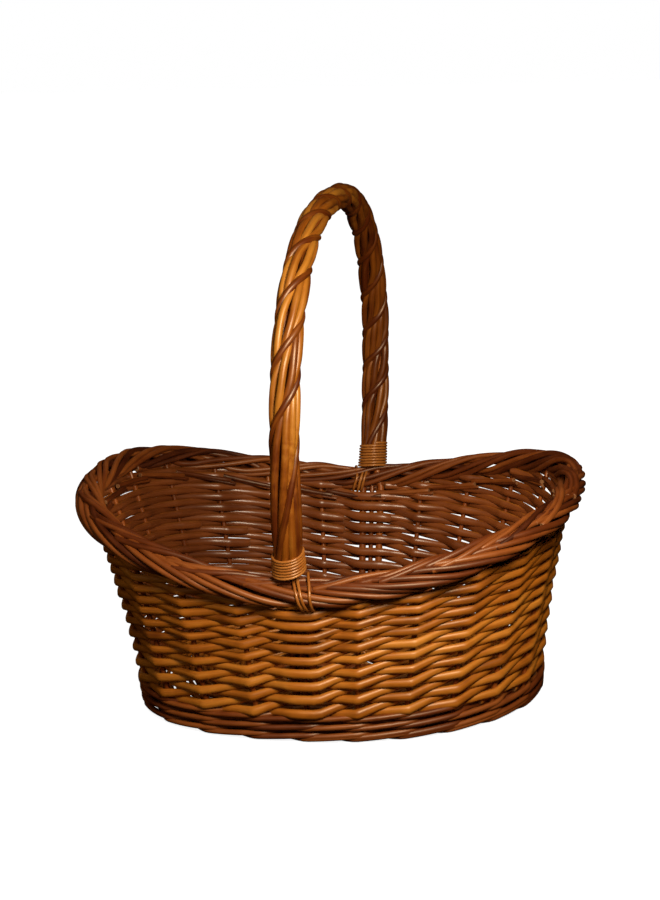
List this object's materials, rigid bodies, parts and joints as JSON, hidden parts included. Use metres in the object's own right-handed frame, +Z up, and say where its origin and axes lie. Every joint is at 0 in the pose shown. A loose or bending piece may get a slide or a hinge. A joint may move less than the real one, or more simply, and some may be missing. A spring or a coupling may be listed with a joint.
{
  "type": "woven market basket",
  "caption": "Oval woven willow market basket with upswept ends, a plaited border and a fixed roped hoop handle across its middle.",
  "frame": {"origin": "centre of the foot, on the surface the basket stands on", "axes": "+Z up, X along the long side of the oval, Y across it in the plane of the handle's hoop"},
  "size_m": [0.4666, 0.4174, 0.4697],
  "materials": {
    "base_willow": "varnished willow rods",
    "stake_willow": "varnished red-brown willow rods",
    "wale_willow": "varnished red-brown willow rods",
    "siding_willow": "glossy varnished golden willow rods",
    "border_willow": "glossy varnished red-brown willow rods",
    "roping_willow": "glossy varnished golden willow rods",
    "binding_cane": "varnished split cane"
  },
  "bodies": {
    "root": {"base_weave_lower": "base_willow", "base_weave_upper": "base_willow", "base_cross_stick_1": "stake_willow", "base_cross_stick_2": "stake_willow", "base_cross_stick_3": "stake_willow", "base_cross_stick_4": "stake_willow", "base_cross_stick_5": "stake_willow", "base_long_stick_1": "stake_willow", "base_long_stick_2": "stake_willow", "base_long_stick_3": "stake_willow", "side_stake_01": "stake_willow", "side_stake_02": "stake_willow", "side_stake_03": "stake_willow", "side_stake_04": "stake_willow", "side_stake_05": "stake_willow", "side_stake_06": "stake_willow", "side_stake_07": "stake_willow", "side_stake_08": "stake_willow", "side_stake_09": "stake_willow", "side_stake_10": "stake_willow", "side_stake_11": "stake_willow", "side_stake_12": "stake_willow", "side_stake_13": "stake_willow", "side_stake_14": "stake_willow", "side_stake_15": "stake_willow", "side_stake_16": "stake_willow", "side_stake_17": "stake_willow", "side_stake_18": "stake_willow", "side_stake_19": "stake_willow", "side_stake_20": "stake_willow", "side_stake_21": "stake_willow", "side_stake_22": "stake_willow", "side_stake_23": "stake_willow", "side_stake_24": "stake_willow", "upsett_wale_1": "wale_willow", "upsett_wale_2": "wale_willow", "upsett_wale_3": "wale_willow", "siding_round_1": "siding_willow", "siding_round_2": "siding_willow", "siding_round_3": "siding_willow", "siding_round_4": "siding_willow", "siding_round_5": "siding_willow", "siding_round_6": "siding_willow", "siding_round_7": "siding_willow", "siding_round_8": "siding_willow", "siding_round_9": "siding_willow", "border_plait": "border_willow", "handle_bow_left": "stake_willow", "handle_bow_right": "stake_willow", "handle_roping_1": "roping_willow", "handle_roping_2": "roping_willow", "handle_roping_3": "roping_willow", "handle_binding_front": "binding_cane", "handle_binding_rear": "binding_cane", "handle_lashing_front_1": "binding_cane", "handle_lashing_front_2": "binding_cane", "handle_lashing_rear_1": "binding_cane", "handle_lashing_rear_2": "binding_cane"}
  },
  "joints": []
}
